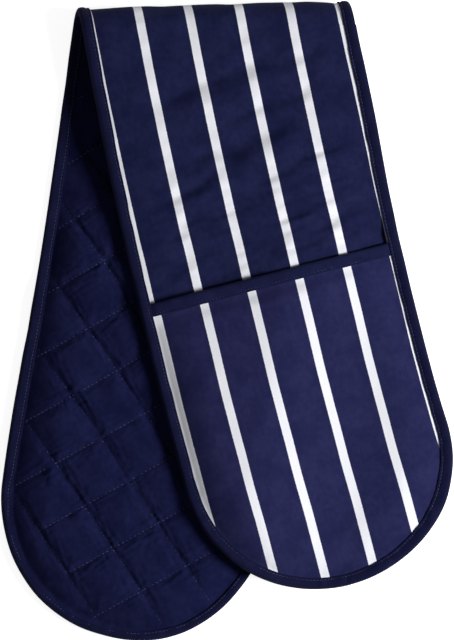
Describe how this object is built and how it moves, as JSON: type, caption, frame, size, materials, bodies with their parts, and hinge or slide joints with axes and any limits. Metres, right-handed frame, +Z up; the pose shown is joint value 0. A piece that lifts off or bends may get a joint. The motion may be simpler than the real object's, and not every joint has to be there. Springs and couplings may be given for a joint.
{
  "type": "double oven glove",
  "caption": "Padded cloth strip with a hand pocket at each end, folded over and laid flat: navy with white stripes, quilted on the inside and bound round the edge.",
  "frame": {"origin": "on the table, below the middle of the bounding box", "axes": "+Z up from the table; the fold runs along X at the +Y end; both hand ends point towards -Y; the rear half lies underneath and leans to -X, the front half lies on top and leans to +X"},
  "size_m": [0.301, 0.4202, 0.0371],
  "materials": {
    "striped_cloth": "woven cotton, navy with white stripes, matt",
    "plain_cloth": "plain woven cotton, dark navy, matt, quilted",
    "binding_tape": "bias-cut cotton tape, dark navy, matt",
    "wadding": "off-white fibre wadding"
  },
  "bodies": {
    "rear_half": {"rear_striped_cloth": "striped_cloth", "rear_wadding": "wadding", "rear_quilted_backing": "plain_cloth", "rear_edge_binding": "binding_tape", "rear_pocket_cloth": "striped_cloth", "rear_pocket_wadding": "wadding", "rear_pocket_lining": "plain_cloth", "rear_mouth_binding": "binding_tape"},
    "fold_strip_1": {"fold_1_striped_cloth": "striped_cloth", "fold_1_wadding": "wadding", "fold_1_quilted_backing": "plain_cloth", "fold_1_left_binding": "binding_tape", "fold_1_right_binding": "binding_tape"},
    "fold_strip_2": {"fold_2_striped_cloth": "striped_cloth", "fold_2_wadding": "wadding", "fold_2_quilted_backing": "plain_cloth", "fold_2_left_binding": "binding_tape", "fold_2_right_binding": "binding_tape"},
    "fold_strip_3": {"fold_3_striped_cloth": "striped_cloth", "fold_3_wadding": "wadding", "fold_3_quilted_backing": "plain_cloth", "fold_3_left_binding": "binding_tape", "fold_3_right_binding": "binding_tape"},
    "fold_strip_4": {"fold_4_striped_cloth": "striped_cloth", "fold_4_wadding": "wadding", "fold_4_quilted_backing": "plain_cloth", "fold_4_left_binding": "binding_tape", "fold_4_right_binding": "binding_tape"},
    "front_band": {"front_band_striped_cloth": "striped_cloth", "front_band_wadding": "wadding", "front_band_quilted_backing": "plain_cloth", "front_band_left_binding": "binding_tape", "front_band_right_binding": "binding_tape"},
    "front_hand_end": {"front_end_striped_cloth": "striped_cloth", "front_end_wadding": "wadding", "front_end_quilted_backing": "plain_cloth", "front_end_edge_binding": "binding_tape", "front_pocket_cloth": "striped_cloth", "front_pocket_wadding": "wadding", "front_pocket_lining": "plain_cloth", "front_mouth_binding": "binding_tape"}
  },
  "joints": [
    {"name": "fold_hinge_1", "type": "hinge", "parent": "rear_half", "child": "fold_strip_1", "pos_m": [0, 0.19936, 0.00076], "axis": [-1, 0, 0], "range_deg": [0, 35.5]},
    {"name": "fold_hinge_2", "type": "hinge", "parent": "fold_strip_1", "child": "fold_strip_2", "pos_m": [0, 0.20711, 0.00639], "axis": [-1, 0, 0], "range_deg": [0, 35.5]},
    {"name": "fold_hinge_3", "type": "hinge", "parent": "fold_strip_2", "child": "fold_strip_3", "pos_m": [0, 0.21007, 0.0155], "axis": [-1, 0, 0], "range_deg": [0, 35.5]},
    {"name": "fold_hinge_4", "type": "hinge", "parent": "fold_strip_3", "child": "fold_strip_4", "pos_m": [0, 0.20711, 0.02461], "axis": [-1, 0, 0], "range_deg": [0, 35.5]},
    {"name": "fold_hinge_5", "type": "hinge", "parent": "fold_strip_4", "child": "front_band", "pos_m": [0, 0.19936, 0.03024], "axis": [-1, 0, 0], "range_deg": [0, 35.5]},
    {"name": "front_end_bend", "type": "hinge", "parent": "front_band", "child": "front_hand_end", "pos_m": [0.0314, 0.03659, 0.0273], "axis": [0.9747, 0.2234, 0], "range_deg": [-60, 0]}
  ],
  "couplings": [
    {"joint": "fold_hinge_2", "follows": "fold_hinge_1", "ratio": 1},
    {"joint": "fold_hinge_3", "follows": "fold_hinge_1", "ratio": 1},
    {"joint": "fold_hinge_4", "follows": "fold_hinge_1", "ratio": 1},
    {"joint": "fold_hinge_5", "follows": "fold_hinge_1", "ratio": 1}
  ]
}
